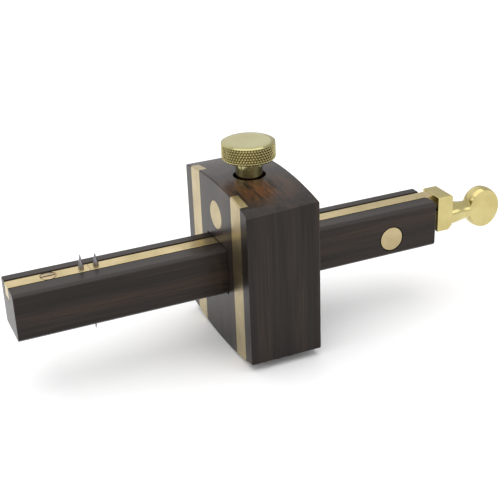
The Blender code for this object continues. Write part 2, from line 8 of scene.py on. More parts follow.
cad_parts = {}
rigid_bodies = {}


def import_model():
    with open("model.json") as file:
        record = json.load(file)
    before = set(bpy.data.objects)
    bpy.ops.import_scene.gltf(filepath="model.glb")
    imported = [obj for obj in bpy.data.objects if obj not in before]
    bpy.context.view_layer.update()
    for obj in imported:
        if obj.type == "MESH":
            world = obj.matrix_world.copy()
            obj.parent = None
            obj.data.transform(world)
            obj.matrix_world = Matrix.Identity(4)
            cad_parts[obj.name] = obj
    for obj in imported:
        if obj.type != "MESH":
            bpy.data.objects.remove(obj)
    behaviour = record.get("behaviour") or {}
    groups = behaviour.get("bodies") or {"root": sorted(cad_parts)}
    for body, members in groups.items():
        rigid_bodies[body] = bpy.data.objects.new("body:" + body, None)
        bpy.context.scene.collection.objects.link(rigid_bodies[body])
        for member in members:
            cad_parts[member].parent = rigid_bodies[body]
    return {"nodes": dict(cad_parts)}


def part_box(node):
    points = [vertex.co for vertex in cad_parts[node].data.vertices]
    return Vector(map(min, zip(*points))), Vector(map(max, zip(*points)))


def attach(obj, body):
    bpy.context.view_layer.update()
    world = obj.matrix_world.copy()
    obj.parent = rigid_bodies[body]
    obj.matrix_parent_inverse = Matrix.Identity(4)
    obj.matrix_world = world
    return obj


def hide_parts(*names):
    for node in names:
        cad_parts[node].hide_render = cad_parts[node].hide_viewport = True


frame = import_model()
print("loaded the gauge's frame")


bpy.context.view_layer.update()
for old in list(bpy.data.objects):
    if old.name in ("Cube", "Light", "Camera"):
        bpy.data.objects.remove(old)


# Shapes


def ringMesh(name, rings):
    # A closed skin: quads between neighbouring rings, and a fan of triangles to the middle of the
    # first ring and of the last.
    rows, count, _ = rings.shape
    ends = np.stack([rings[0].mean(0), rings[-1].mean(0)])
    points = np.concatenate([rings.reshape(-1, 3), ends])
    index = np.arange(rows * count).reshape(rows, count)
    beside = np.roll(index, -1, axis=1)
    quads = np.stack([index[:-1], beside[:-1], beside[1:], index[1:]], axis=-1).reshape(-1, 4)
    first, last = rows * count, rows * count + 1
    startFan = np.stack([np.full(count, first), beside[0], index[0]], axis=-1)
    endFan = np.stack([np.full(count, last), index[-1], beside[-1]], axis=-1)
    thirds = np.concatenate([quads[:, [0, 1, 2]], quads[:, [0, 2, 3]], startFan, endFan])
    corners = points[thirds]
    volume = np.einsum("ij,ij->i", corners[:, 0], np.cross(corners[:, 1], corners[:, 2])).sum()
    turn = slice(None, None, -1) if volume < 0 else slice(None)  # faces point outwards
    faces = quads[:, turn].tolist() + startFan[:, turn].tolist() + endFan[:, turn].tolist()
    mesh = bpy.data.meshes.new(name)
    mesh.from_pydata(points.tolist(), [], faces)
    mesh.validate()
    return mesh


def lay(across, up, along, axis):
    # Puts a section's two coordinates and its place along an axis in world order.
    parts = {"X": (along, across, up), "Y": (across, along, up), "Z": (across, up, along)}[axis]
    return np.stack(np.broadcast_arrays(*parts), axis=-1)


def turnedMesh(name, profile, centre, axis, count=96):
    # A profile of (place along the axis, radius) carried round the axis: radius times cosine and
    # sine of the angle.
    profile = np.asarray(profile, float)
    angle = np.linspace(0, 2 * np.pi, count, endpoint=False)
    radius = profile[:, 1][:, None]
    rings = lay(radius * np.cos(angle), radius * np.sin(angle), profile[:, 0][:, None], axis)
    return ringMesh(name, rings + np.asarray(centre))


def boreMesh(name, start, end, radius, centre, axis, count=96):
    # A plain round cutter, with one radius from start to end.
    return turnedMesh(name, [(start, radius), (end, radius)], centre, axis, count)


def bothEnds(steps, start, end):
    # The same profile at both ends: places measured inwards from start, then from end in reverse.
    near = [(start + step, radius) for step, radius in steps]
    return near + [(end - step, radius) for step, radius in reversed(steps)]



def easedPath(corners, ease, steps=5, closed=False):
    # Every corner becomes a parabola from ease before it to ease after it:
    # (1-t)^2 A + 2t(1-t) P + t^2 B.
    corners = np.asarray(corners, float)
    ease = np.broadcast_to(ease, len(corners))[:, None, None]
    before, after = np.roll(corners, 1, axis=0) - corners, np.roll(corners, -1, axis=0) - corners
    before /= np.linalg.norm(before, axis=1)[:, None]
    after /= np.linalg.norm(after, axis=1)[:, None]
    t = np.linspace(0, 1, steps + 1)[None, :, None]
    middle = corners[:, None]
    curve = middle + (1 - t) ** 2 * ease * before[:, None] + t**2 * ease * after[:, None]
    if closed:
        return curve.reshape(-1, 2)
    return np.concatenate([corners[:1], curve[1:-1].reshape(-1, 2), corners[-1:]])


def insetCorners(corners, inset):
    # Each side of a convex outline moves inwards by inset, and neighbouring sides are crossed
    # again.
    corners = np.asarray(corners, float)
    side = np.roll(corners, -1, axis=0) - corners
    side /= np.linalg.norm(side, axis=1)[:, None]
    normal = np.stack([side[:, 1], -side[:, 0]], axis=1)
    middle = corners.mean(0)
    normal *= np.sign(((corners - middle) * normal).sum(1))[:, None]
    reach = (normal * corners).sum(1) - inset
    lastNormal, lastReach = np.roll(normal, 1, axis=0), np.roll(reach, 1)
    cross = lastNormal[:, 0] * normal[:, 1] - lastNormal[:, 1] * normal[:, 0]
    x = (lastReach * normal[:, 1] - reach * lastNormal[:, 1]) / cross
    y = (lastNormal[:, 0] * reach - normal[:, 0] * lastReach) / cross
    return np.stack([x, y], axis=1)


def edgeSteps(start, end, edge, steps=5):
    # Places along a bar and the inset there: a quarter circle at each end, inset = edge (1 - sine).
    turn = np.linspace(0, np.pi / 2, steps + 1)
    near = start + edge * (1 - np.cos(turn))
    far = end - edge * (1 - np.cos(turn[::-1]))
    inset = edge * (1 - np.sin(turn))
    return np.concatenate([near, far]), np.concatenate([inset, inset[::-1]])


def sweptMesh(name, outlines, places, axis):
    # Each outline stands at its own place along the axis, and a skin joins them.
    pairs = zip(outlines, places)
    rings = [lay(outline[:, 0], outline[:, 1], place, axis) for outline, place in pairs]
    return ringMesh(name, np.stack(rings))


def barMesh(name, corners, start, end, axis, ease, edge):
    # A convex outline carried along an axis, its long edges eased and its ends rounded over.
    # Towards an end the ease shrinks by 0.6 of the inset, but not below 0.3 of itself.
    places, insets = edgeSteps(start, end, edge)
    eases = [max(ease - inset * 0.6, ease * 0.3) for inset in insets]
    outlines = [
        easedPath(insetCorners(corners, inset), soft, 4, True) for inset, soft in zip(insets, eases)
    ]
    return sweptMesh(name, outlines, places, axis)


def rectangle(low, high):
    return [(low[0], low[1]), (high[0], low[1]), (high[0], high[1]), (low[0], high[1])]


def looseObject(name, mesh):
    piece = bpy.data.objects.new(name, mesh)
    bpy.context.scene.collection.objects.link(piece)
    return piece


def carve(piece, cutters, operation="DIFFERENCE"):
    # Each cutter is a mesh. The cuts are made at once, so that the piece holds plain geometry.
    helpers = [looseObject("cutter", mesh) for mesh in cutters]
    for helper in helpers:
        modifier = piece.modifiers.new("cut", "BOOLEAN")
        modifier.operation = operation
        modifier.object = helper
        modifier.solver = "EXACT"
    bpy.context.view_layer.update()
    graph = bpy.context.evaluated_depsgraph_get()
    mesh = bpy.data.meshes.new_from_object(piece.evaluated_get(graph))
    piece.modifiers.clear()
    piece.data = mesh
    for helper in helpers:
        bpy.data.objects.remove(helper)
    return piece


def finishPiece(piece, material, body, stands=(), sharp=32, weighted=True):
    piece.data.materials.clear()
    piece.data.materials.append(material)
    piece.data.polygons.foreach_set("material_index", np.zeros(len(piece.data.polygons), np.int32))
    piece.data.shade_smooth()
    piece.data.set_sharp_from_angle(angle=math.radians(sharp))
    if weighted:
        modifier = piece.modifiers.new("even shading", "WEIGHTED_NORMAL")
        modifier.keep_sharp = True
    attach(piece, body)
    if stands:
        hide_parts(*stands)
    return piece


# Materials


def newMaterial(name):
    material = bpy.data.materials.new(name)
    material.use_nodes = True
    tree = material.node_tree
    return material, tree, tree.nodes["Principled BSDF"]


def addNode(tree, kind, settings=None, **inputs):
    # Input names are the socket's words run together, so noise_scale would be "Noise Scale".
    node = tree.nodes.new(kind)
    for key, value in (settings or {}).items():
        setattr(node, key, value)
    for key, value in inputs.items():
        socket = node.inputs[key.replace("_", " ").title()]
        if isinstance(value, bpy.types.NodeSocket):
            tree.links.new(value, socket)
        else:
            socket.default_value = value
    return node


def addRamp(tree, factor, stops):
    ramp = tree.nodes.new("ShaderNodeValToRGB")
    tree.links.new(factor, ramp.inputs["Fac"])
    elements = ramp.color_ramp.elements
    while len(elements) < len(stops):
        elements.new(0.5)
    for element, (position, colour) in zip(elements, stops):
        element.position = position
        element.color = (*colour, 1.0)
    return ramp.outputs["Color"]


def grey(value):
    return (value, value, value)


def mixColour(tree, factor, first, second, blend="MIX"):
    node = tree.nodes.new("ShaderNodeMix")
    node.data_type = "RGBA"
    node.blend_type = blend
    sockets = (node.inputs[0], node.inputs[6], node.inputs[7])  # the factor, and colours A and B
    for socket, value in zip(sockets, (factor, first, second)):
        if isinstance(value, bpy.types.NodeSocket):
            tree.links.new(value, socket)
        else:
            socket.default_value = value if isinstance(value, float) else (*value, 1.0)
    return node.outputs[2]


def addMath(tree, operation, first, second=0.0):
    node = tree.nodes.new("ShaderNodeMath")
    node.operation = operation
    for socket, value in zip(node.inputs, (first, second)):
        if isinstance(value, bpy.types.NodeSocket):
            tree.links.new(value, socket)
        else:
            socket.default_value = value
    return node.outputs[0]


def mappedCoordinates(tree, scale):
    source = tree.nodes.new("ShaderNodeTexCoord").outputs["Object"]
    return addNode(tree, "ShaderNodeMapping", None, vector=source, scale=scale).outputs[0]


def addNoise(tree, stretch, **inputs):
    # Noise on the piece's own coordinates, with a scale for each axis.
    place = mappedCoordinates(tree, stretch)
    return addNode(tree, "ShaderNodeTexNoise", None, vector=place, scale=1.0, **inputs)


woodLooks = {
    "dark": (0.0105, 0.0080, 0.0072),
    "mid": (0.019, 0.0135, 0.0112),
    "streak": (0.031, 0.0190, 0.0135),
    "line": (0.006, 0.0045, 0.004),
    "bands": ((0.30, "line"), (0.42, "dark"), (0.53, "mid"), (0.62, "streak"), (0.72, "mid")),
    "warpStretch": (6, 30),  # along the grain and across it
    "bandStretch": (5, 170),
    "fibreStretch": (45, 1500),
    "poreStretch": (260, 2600),
    # painted sheen: a paler colour on the beam's chamfers for the light they catch
    "chamferSheen": (0.034, 0.029, 0.027),
    "sheenFrom": 0.00145,
    "sheenFull": 0.00120,
    "roughness": (0.25, 0.38),
    "specular": 0.25,
    "tint": (1.0, 0.92, 0.86),
}
figureLooks = {
    "colour": (0.115, 0.048, 0.019),
    "place": (-0.002, -0.0125),  # X from the screw's axis, and Y
    "spread": (85.0, 80.0),
    "stretch": (420, 95, 60),
    "fade": (1.45, 0.35),
    "mottle": (0.36, 0.60),
    "above": 0.0690,
}


def rampBetween(tree, value, low, high):
    # 0 at low and 1 at high, straight between and held outside.
    inputs = {"value": value, "from_min": low, "from_max": high}
    return addNode(tree, "ShaderNodeMapRange", {"clamp": True}, **inputs).outputs[0]


def endFigure(tree, base, split):
    # A warm brown patch on the stock's top, in front of the screw: mottled noise drawn out along Y,
    # faded by its distance from the patch's middle, the root of across squared + along squared.
    looks = figureLooks
    mottle = addNoise(tree, looks["stretch"], detail=4.0, roughness=0.62, distortion=0.6)
    low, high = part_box("thumbscrew")
    placeX, placeY = (low.x + high.x) / 2 + looks["place"][0], looks["place"][1]
    fromX = addMath(tree, "SUBTRACT", split.outputs[0], placeX)
    fromY = addMath(tree, "SUBTRACT", split.outputs[1], placeY)
    across = addMath(tree, "MULTIPLY", fromX, looks["spread"][0])
    along = addMath(tree, "MULTIPLY", fromY, looks["spread"][1])
    acrossSquared = addMath(tree, "MULTIPLY", across, across)
    alongSquared = addMath(tree, "MULTIPLY", along, along)
    distance = addMath(tree, "SQRT", addMath(tree, "ADD", acrossSquared, alongSquared))
    near = rampBetween(tree, distance, *looks["fade"])
    above = rampBetween(tree, split.outputs[2], looks["above"], looks["above"] + 0.001)
    speckle = rampBetween(tree, mottle.outputs["Fac"], *looks["mottle"])
    share = addMath(tree, "MULTIPLY", addMath(tree, "MULTIPLY", near, above), speckle)
    return mixColour(tree, share, base, looks["colour"])


def paintedChamferSheen(tree, base, split):
    # The beam's long chamfers get a paler colour, a painted sheen for the brighter light they
    # catch:
    # there |y| + |z - middle| is nearly twice the half width less the chamfer.
    beamLow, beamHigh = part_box("beam")
    middle, half = (beamLow.z + beamHigh.z) / 2, (beamHigh.z - beamLow.z) / 2
    sideways = addMath(tree, "ABSOLUTE", split.outputs[1])
    upright = addMath(tree, "ABSOLUTE", addMath(tree, "SUBTRACT", split.outputs[2], middle))
    reach = addMath(tree, "ADD", sideways, upright)
    sheenFrom, sheenFull = 2 * half - woodLooks["sheenFrom"], 2 * half - woodLooks["sheenFull"]
    # painted sheen: this mask lightens the chamfers' colour, standing in for their highlight
    share = rampBetween(tree, reach, sheenFrom, sheenFull)
    return mixColour(tree, share, base, woodLooks["chamferSheen"])


def woodMaterial(name, grain):
    # Stretched noise along the grain gives bands and streaks, a finer one the fibres, and long thin
    # cells the open pores.
    material, tree, shader = newMaterial(name)

    def stretched(key):
        along, across = woodLooks[key]
        return {"X": (along, across, across), "Z": (across, across, along)}[grain]

    warp = addNoise(tree, stretched("warpStretch"), detail=2.0)
    bands = addNoise(
        tree, stretched("bandStretch"), detail=5.0, roughness=0.62, distortion=0.35
    )
    fibres = addNoise(tree, stretched("fibreStretch"), detail=3.0, roughness=0.6)
    cells = mappedCoordinates(tree, stretched("poreStretch"))
    pores = addNode(tree, "ShaderNodeTexVoronoi", None, vector=cells, scale=1.0, randomness=1.0)
    stops = [(place, woodLooks[key]) for place, key in woodLooks["bands"]]
    base = addRamp(tree, bands.outputs["Fac"], stops)
    patch = addRamp(tree, warp.outputs["Fac"], [(0.42, grey(0.0)), (0.66, grey(0.55))])
    base = mixColour(tree, patch, base, woodLooks["dark"])
    fibre = addRamp(tree, fibres.outputs["Fac"], [(0.3, grey(0.62)), (0.7, grey(1.35))])
    base = mixColour(tree, 0.8, base, fibre, "MULTIPLY")
    pore = addRamp(tree, pores.outputs["Distance"], [(0.05, grey(0.25)), (0.16, grey(1.0))])
    base = mixColour(tree, 0.7, base, pore, "MULTIPLY")
    split = tree.nodes.new("ShaderNodeSeparateXYZ")
    tree.links.new(tree.nodes.new("ShaderNodeTexCoord").outputs["Object"], split.inputs[0])
    shader.inputs["Specular IOR Level"].default_value = woodLooks["specular"]
    shader.inputs["Specular Tint"].default_value = (*woodLooks["tint"], 1.0)
    base = endFigure(tree, base, split) if grain == "Z" else paintedChamferSheen(tree, base, split)
    tree.links.new(base, shader.inputs["Base Color"])
    low, high = woodLooks["roughness"]
    gloss = addRamp(tree, fibres.outputs["Fac"], [(0.25, grey(low)), (0.75, grey(high))])
    tree.links.new(gloss, shader.inputs["Roughness"])
    relief = addMath(tree, "MULTIPLY", pore, fibres.outputs["Fac"])
    bump = addNode(tree, "ShaderNodeBump", None, height=relief, strength=0.25, distance=0.0001)
    tree.links.new(bump.outputs[0], shader.inputs["Normal"])
    return material


brassLooks = {
    "bar": {"colour": (0.61, 0.49, 0.27), "dull": (0.50, 0.40, 0.20), "roughness": (0.24, 0.36)},
    "strip": {"colour": (0.49, 0.40, 0.23), "dull": (0.41, 0.33, 0.18), "roughness": (0.28, 0.40)},
    "cast": {"colour": (0.57, 0.49, 0.22), "dull": (0.50, 0.42, 0.18), "roughness": (0.13, 0.25)},
    "turned": {"colour": (0.58, 0.46, 0.28), "dull": (0.46, 0.36, 0.22), "roughness": (0.22, 0.34)},
    "knurled": {
        "colour": (0.42, 0.39, 0.19),
        "dull": (0.39, 0.35, 0.165),
        "roughness": (0.10, 0.18),
        # painted shade for the knurl's grooves, the colour at full groove depth
        "grooveShade": (0.42, 0.32, 0.18),
    },
}


def brassMaterial(name, looks, stretch):
    # Fine stretched noise for the tool marks, and a broad soft one for handling and tarnish. A
    # painted shade darkens a knurl's grooves, deeper grooves darker.
    material, tree, shader = newMaterial(name)
    marks = addNoise(tree, stretch, detail=3.0, roughness=0.6).outputs["Fac"]
    tarnish = addNoise(tree, (90, 90, 90), detail=4.0, roughness=0.6).outputs["Fac"]
    base = addRamp(tree, tarnish, [(0.35, looks["dull"]), (0.60, looks["colour"])])
    if "grooveShade" in looks:
        # painted shade: the groove depth darkens the colour where the knurl's hollows are shaded
        groove = addNode(tree, "ShaderNodeAttribute", {"attribute_name": "groove"}).outputs["Fac"]
        grooveShade = addRamp(tree, groove, [(0.1, grey(1.0)), (0.9, looks["grooveShade"])])
        base = mixColour(tree, 1.0, base, grooveShade, "MULTIPLY")
    tree.links.new(base, shader.inputs["Base Color"])
    low, high = looks["roughness"]
    gloss = addRamp(tree, marks, [(0.3, grey(low)), (0.7, grey(high))])
    tree.links.new(gloss, shader.inputs["Roughness"])
    shader.inputs["Metallic"].default_value = 1.0
    bump = addNode(tree, "ShaderNodeBump", None, height=marks, strength=0.3, distance=0.000006)
    tree.links.new(bump.outputs[0], shader.inputs["Normal"])
    return material


steelLooks = {"dull": (0.20, 0.19, 0.21), "bright": (0.36, 0.35, 0.38), "roughness": (0.22, 0.38)}


def steelMaterial(name):
    # Fine noise drawn out round the pin gives the colour and the gloss of ground steel.
    material, tree, shader = newMaterial(name)
    marks = addNoise(tree, (800, 800, 4000), detail=2.0).outputs["Fac"]
    base = addRamp(tree, marks, [(0.3, steelLooks["dull"]), (0.7, steelLooks["bright"])])
    tree.links.new(base, shader.inputs["Base Color"])
    low, high = steelLooks["roughness"]
    gloss = addRamp(tree, marks, [(0.3, grey(low)), (0.7, grey(high))])
    tree.links.new(gloss, shader.inputs["Roughness"])
    shader.inputs["Metallic"].default_value = 1.0
    return material


stockWood = woodMaterial("dark hardwood, upright grain", "Z")
beamWood = woodMaterial("dark hardwood, long grain", "X")
stripBrass = brassMaterial("wear strip brass", brassLooks["strip"], (900, 900, 40))
barBrass = brassMaterial("bar brass", brassLooks["bar"], (40, 900, 900))
castBrass = brassMaterial("cast brass", brassLooks["cast"], (300, 300, 300))
turnedBrass = brassMaterial("turned brass", brassLooks["turned"], (300, 300, 2500))
knurledBrass = brassMaterial("knurled brass", brassLooks["knurled"], (30, 30, 3000))
steel = steelMaterial("hardened steel")
print("made the materials")

# Stock

stockLooks = {
    "sag": 0.0035,
    "corner": 0.0007,
    "edge": 0.0006,
    "seam": 0.00003,
    "gap": 0.0003,
    "neckHole": 0.0133,
    "shankHole": 0.0043,
    "shoeRise": 0.0015,
    "bevelDrop": 0.0011,
    "bevelSlope": 0.47,
    "nutEase": 0.00015,
    "past": 0.01,  # how far a cutter reaches beyond the wood
}
stockLow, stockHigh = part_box("stock")
halfWidth = stockHigh.y
stockHeight = stockHigh.z


def archedOutline(inset, corner):
    # Four small corner arcs and two large arches, told apart only by centre and radius:
    # point = centre + radius (cosine, sine).
    sag = stockLooks["sag"]
    arch = (halfWidth**2 + sag**2) / (2 * sag)
    rise = math.sqrt((arch - corner) ** 2 - (halfWidth - corner) ** 2)
    lean = math.atan2(rise, halfWidth - corner)
    small, large = np.linspace(0, lean, 7), np.linspace(lean, np.pi - lean, 61)
    top, foot = stockHeight - arch, arch
    arcs = [
        (halfWidth - corner, top + rise, corner, small),
        (0, top, arch, large),
        (corner - halfWidth, top + rise, corner, np.pi - small[::-1]),
        (corner - halfWidth, foot - rise, corner, np.pi + small),
        (0, foot, arch, np.pi + large),
        (halfWidth - corner, foot - rise, corner, 2 * np.pi - small[::-1]),
    ]
    outline = []
    for y, z, radius, turn in arcs:
        reach = radius - inset
        outline.append(np.stack([y + reach * np.cos(turn), z + reach * np.sin(turn)], axis=1))
    return np.concatenate(outline)


def stockForm(name):
    places, insets = edgeSteps(stockLow.x, stockHigh.x, stockLooks["edge"])
    outlines = [archedOutline(inset, stockLooks["corner"]) for inset in insets]
    return sweptMesh(name, outlines, places, "X")


def boxMesh(name, low, high):
    # A block whose edges are hardly eased, so that it cuts crisply.
    crisp = 0.00001
    section = rectangle((low[1], low[2]), (high[1], high[2]))
    return barMesh(name, section, low[0], high[0], "X", crisp, crisp)


beamLow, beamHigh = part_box("beam")
nutLow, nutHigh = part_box("stock_cross_nut")
nutRadius = (nutHigh.y - nutLow.y) / 2
nutHeight = (nutHigh.z + nutLow.z) / 2
screwLow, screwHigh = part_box("thumbscrew")
screwX = (screwLow.x + screwHigh.x) / 2
seam, past = stockLooks["seam"], stockLooks["past"]


def bevelCutter():
    # A bevel on the front top edge, whose plane drops from nothing at the stock's +X end to
    # bevelDrop at its -X end. Its height there is lowest + slope times the way in from the front.
    slope, corner = stockLooks["bevelSlope"], stockHeight - stockLooks["sag"]
    outside, inside, above, beyond = 0.004, 0.02, 0.012, 0.003  # how far the cutter reaches
    near, far, top = -halfWidth - outside, -halfWidth + inside, stockHeight + above
    rings = []
    for x in (stockLow.x - beyond, stockHigh.x + beyond):
        lowest = corner - stockLooks["bevelDrop"] * (stockHigh.x - x) / (stockHigh.x - stockLow.x)
        sides = [(near, lowest - outside * slope), (far, lowest + inside * slope)]
        rings.append([(x, y, z) for y, z in sides + [(far, top), (near, top)]])
    return ringMesh("bevel", np.array(rings))


def mortiseCutter():
    gap = stockLooks["gap"]
    section = rectangle((beamLow.y - gap, beamLow.z - gap), (beamHigh.y + gap, beamHigh.z + gap))
    return barMesh("mortise", section, stockLow.x - past, stockHigh.x + past, "X", 0.0002, 0.0001)


def channelCutter(node):
    low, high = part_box(node)
    start = (low.x - past, low.y - seam, -past)
    return boxMesh("channel", start, (high.x + seam, high.y + seam, stockHeight + past))


def neckCutters():
    # The neck's hole flares at its mouth in the stock's top, and the shank's goes on to the beam.
    hole, mouth, centre = stockLooks["neckHole"] / 2, stockHeight, (screwX, 0, 0)
    profile = [
        (nutHeight + nutRadius + 0.003, hole),
        (mouth - 0.0005, hole),
        (mouth - 0.0001, hole + 0.00015),
        (mouth + 0.0003, hole + 0.0006),
        (mouth + 0.004, hole + 0.004),
    ]
    foot, top = beamHigh.z - 0.004, mouth + 0.004
    shank = boreMesh("shank hole", foot, top, stockLooks["shankHole"], centre, "Z", 64)
    return [turnedMesh("neck hole", profile, centre, "Z"), shank]


def shoeCutter():
    gap = stockLooks["gap"]
    low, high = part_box("pressure_shoe")
    start = (low.x - gap, low.y - gap, low.z - 0.002)
    end = (high.x + gap, high.y + gap, high.z + stockLooks["shoeRise"] + gap)
    return boxMesh("pocket", start, end)


def makeStock():
    bore, centre = nutRadius + seam, (0, 0, nutHeight)
    cutters = [
        mortiseCutter(),
        channelCutter("wear_strip_front"),
        channelCutter("wear_strip_back"),
        boreMesh("bore", stockLow.x - 0.005, nutHigh.x + seam, bore, centre, "X"),
        *neckCutters(),
        shoeCutter(),
        bevelCutter(),
    ]
    piece = carve(looseObject("stockBlock", stockForm("stockBlock")), cutters)
    finishPiece(piece, stockWood, "stock", ("stock",))


def makeWearStrips():
    strips = (("wearStripFront", "wear_strip_front"), ("wearStripBack", "wear_strip_back"))
    for name, node in strips:
        low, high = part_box(node)
        start, end = (low.x - 0.002, low.y, -past), (high.x, high.y, stockHeight + past)
        blank = looseObject(name, boxMesh(name, start, end))
        piece = carve(blank, [stockForm("form")], "INTERSECT")
        finishPiece(piece, stripBrass, "stock", (node,))


def makeStockNut():
    ease, thread = stockLooks["nutEase"], stockLooks["shankHole"]
    profile = [
        (nutLow.x, nutRadius - ease),
        (nutLow.x + ease * 0.4, nutRadius - ease * 0.3),
        (nutLow.x + ease, nutRadius),
        (nutHigh.x, nutRadius),
    ]
    mesh = turnedMesh("stockCrossNut", profile, (0, 0, nutHeight), "X", 128)
    nut = looseObject("stockCrossNut", mesh)
    foot, top = nutHeight - 0.01, nutHeight + 0.01
    carve(nut, [boreMesh("thread", foot, top, thread, (screwX, 0, 0), "Z", 64)])
    finishPiece(nut, stripBrass, "stock", ("stock_cross_nut",))


makeStock()
makeWearStrips()
makeStockNut()
print("made the stock")

# Thumbscrew

thumbscrewLooks = {
    "teeth": 58,
    "knurlDepth": 0.00036,
    "knurlLean": 0.55,  # at 1 a groove would climb one tooth's width for each tooth round
    "knurlSteps": 10,
    "knurlRows": 64,
    "fadeRows": 5.0,
    "sharpness": 1.6,
    "bevel": 0.0009,
    "headHeight": 0.0073,
    "neck": 0.0056,
    "shank": 0.0040,
}


def triangleWave(turns):
    # 0 on whole numbers and 1 halfway between them.
    return 1 - np.abs(2 * (turns - np.floor(turns)) - 1)


def thumbscrewProfile(headRadius):
    # The points above the knurl, those along it and those below it, each (height, radius).
    looks = thumbscrewLooks
    top, foot = screwHigh.z, screwHigh.z - looks["headHeight"]
    neckFoot = nutHeight + nutRadius + 0.0025
    bevel, neck, shank = looks["bevel"], looks["neck"], looks["shank"]
    upper = [
        (top - 0.00012, 0.0010),
        (top - 0.00003, headRadius * 0.45),
        (top, headRadius * 0.7),
        (top, headRadius - bevel - 0.0002),
        (top - 0.00006, headRadius - bevel),
        (top - bevel * 0.42, headRadius - 0.00025),
        (top - bevel * 0.47, headRadius - 0.0001),
    ]
    heights = np.linspace(top - bevel * 0.5, foot + 0.0006, looks["knurlRows"])
    lower = [
        (foot + 0.00035, headRadius - 0.0001),
        (foot, headRadius - 0.0005),
        (foot - 0.00002, neck + 0.0006),
        (foot - 0.0002, neck + 0.0001),
        (foot - 0.0005, neck),
        (foot - 0.0006, neck),
        (neckFoot + 0.0006, neck),
        (neckFoot + 0.0005, neck),
        (neckFoot, neck - 0.0005),
        (neckFoot - 0.0001, shank),
        (screwLow.z + 0.001, shank),
        (screwLow.z, shank - 0.001),
    ]
    return upper, [(z, headRadius) for z in heights], lower


def makeThumbscrew():
    # The side's radius falls by the deeper of two crossing spiral V grooves, which fade out at the
    # head's edges.
    looks = thumbscrewLooks
    headRadius = (screwHigh.x - screwLow.x) / 2
    upper, knurl, lower = thumbscrewProfile(headRadius)
    profile = np.array(upper + knurl + lower)
    count = looks["teeth"] * looks["knurlSteps"]
    angle = np.linspace(0, 2 * np.pi, count, endpoint=False)
    height, radius = profile[:, 0][:, None], profile[:, 1][:, None]
    lead = height / (2 * np.pi * headRadius / looks["teeth"]) * looks["knurlLean"]
    turns = looks["teeth"] * angle / (2 * np.pi)
    raised = np.minimum(triangleWave(turns + lead), triangleWave(turns - lead))
    start, end = len(upper), len(upper) + len(knurl)
    rows = np.arange(len(profile))[:, None]
    inside = np.clip(np.minimum(rows - start + 1, end - rows) / looks["fadeRows"], 0, 1)
    groove = inside * np.clip(1 - raised * looks["sharpness"], 0, 1)
    radius = radius - looks["knurlDepth"] * groove
    rings = lay(screwX + radius * np.cos(angle), radius * np.sin(angle), height, "Z")
    mesh = ringMesh("thumbscrewKnurled", rings)
    # the groove depth also drives the painted shade in the knurled brass's colour
    shade = mesh.attributes.new("groove", "FLOAT", "POINT")
    depths = np.concatenate([groove.ravel(), [0.0, 0.0]])  # the two fans' middles have none
    shade.data.foreach_set("value", depths.astype(np.float32))
    piece = looseObject("thumbscrewKnurled", mesh)
    stands = ("thumbscrew",)
    finishPiece(piece, knurledBrass, "clamp_screw", stands, sharp=40, weighted=False)


makeThumbscrew()
print("made the thumbscrew")

# Beam

beamLooks = {
    "chamfer": 0.0011,
    "ease": 0.00035,
    "end": 0.0005,
    "grooveHalf": 0.0037,
    "grooveFlare": 0.00034,
    "floorGap": 0.0003,
    "backGap": 0.0003,
    "ringGap": 0.0003,
    "sinkGap": 0.0004,
    "screwHole": 0.0017,
    "rodHole": 0.0026,
    "nutEase": 0.0002,
}
barLooks = {"slim": 0.00045, "taper": 0.0003, "seam": 0.00003, "ease": 0.00015, "pinGap": 0.00004}
plateLooks = {"shank": 0.0014, "slotHalf": 0.00045, "slotDepth": 0.0009}
barLow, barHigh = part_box("slide_bar")
fixedLow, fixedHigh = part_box("fixed_pin_bar")
barY = (barLow.y + barHigh.y) / 2
beamNutLow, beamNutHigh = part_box("beam_cross_nut")
beamNutRadius = (beamNutHigh.z - beamNutLow.z) / 2
beamNutZ = (beamNutHigh.z + beamNutLow.z) / 2
beamNutX = (beamNutLow.x + beamNutHigh.x) / 2
rodLow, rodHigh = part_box("adjuster_rod")
adjusterZ = (rodLow.z + rodHigh.z) / 2
adjusterBore = 0.0023  # the rod's hole in the cross nut and in the end block
plateLow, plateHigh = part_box("plate_screw")
plateX = (plateLow.x + plateHigh.x) / 2
singleLow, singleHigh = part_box("single_pin")
singleX = (singleLow.x + singleHigh.x) / 2
pinRadius = (singleHigh.x - singleLow.x) / 2


def chamferedSquare(low, high, size):
    (y0, z0), (y1, z1) = low, high
    foot = [(y0 + size, z0), (y1 - size, z0), (y1, z0 + size)]
    top = [(y1, z1 - size), (y1 - size, z1), (y0 + size, z1)]
    return foot + top + [(y0, z1 - size), (y0, z0 + size)]


def grooveCutter(floor):
    # A dovetail's outline carried along the beam, with a small bevel at both edges of its mouth.
    half, flare, top = beamLooks["grooveHalf"], beamLooks["grooveFlare"], beamHigh.z
    front, back = barY - half, barY + half + beamLooks["backGap"]
    outline = np.array(
        [
            (front - flare, floor),
            (back + flare, floor),
            (back, top - 0.0003),
            (back + 0.0006, top + 0.0005),
            (front - 0.0006, top + 0.0005),
            (front, top - 0.0003),
        ]
    )
    places = (beamLow.x - 0.01, beamHigh.x + 0.01)
    return sweptMesh("groove", [outline, outline], places, "X")


def nutCutter():
    # The nut's bore is snug inside, with a thin recess round the disc at both sides of the beam.
    ring, snug = beamNutRadius + beamLooks["ringGap"], beamNutRadius + 0.00008
    steps = [(-0.004, ring + 0.004), (-0.00001, ring + 0.00015), (0.0006, ring), (0.0007, snug)]
    profile = bothEnds(steps, beamLow.y, beamHigh.y)
    return turnedMesh("nut bore", profile, (beamNutX, 0, beamNutZ), "Y", 128)


